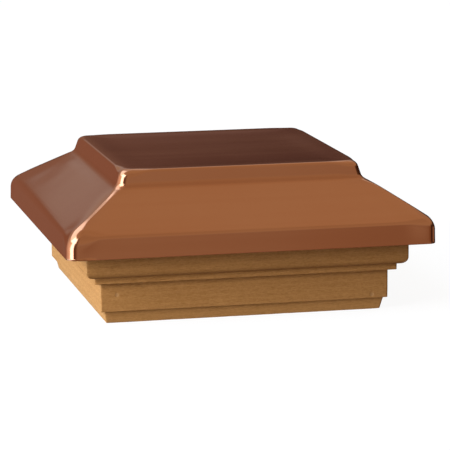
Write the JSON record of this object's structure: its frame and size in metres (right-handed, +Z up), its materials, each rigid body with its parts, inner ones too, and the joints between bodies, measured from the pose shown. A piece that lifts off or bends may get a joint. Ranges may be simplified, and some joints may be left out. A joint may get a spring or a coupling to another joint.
{
  "type": "fence post cap",
  "caption": "Square fence post cap: a stepped copper top with a raised flat crown over mitred wooden mouldings that form a socket for the post.",
  "frame": {"origin": "centre of the square underside of the mouldings, at the mouth of the post socket", "axes": "+Z up along the post, front towards -Y, sides square to X and Y"},
  "size_m": [0.148, 0.148, 0.0592],
  "materials": {
    "copper": "satin mill-finish copper, faint rolling lines",
    "cedar": "smooth planed cedar, unfinished",
    "block_wood": "sawn cedar",
    "plywood": "exterior plywood, sanded",
    "steel": "zinc plated",
    "filler": "dried wood filler",
    "adhesive": "cured construction adhesive"
  },
  "bodies": {
    "root": {"copper_top": "copper", "crown_block": "block_wood", "deck_board": "plywood", "seat_panel": "plywood", "moulding_front": "cedar", "moulding_right": "cedar", "moulding_back": "cedar", "moulding_left": "cedar", "corner_pins_front": "steel", "corner_pins_right": "steel", "corner_pins_back": "steel", "corner_pins_left": "steel", "pin_filler_front": "filler", "pin_filler_right": "filler", "pin_filler_back": "filler", "pin_filler_left": "filler", "deck_screws_front": "steel", "deck_screws_right": "steel", "deck_screws_back": "steel", "deck_screws_left": "steel", "edge_adhesive_front": "adhesive", "edge_adhesive_right": "adhesive", "edge_adhesive_back": "adhesive", "edge_adhesive_left": "adhesive", "crown_screws": "steel", "panel_staples": "steel", "crown_adhesive": "adhesive"}
  },
  "joints": []
}
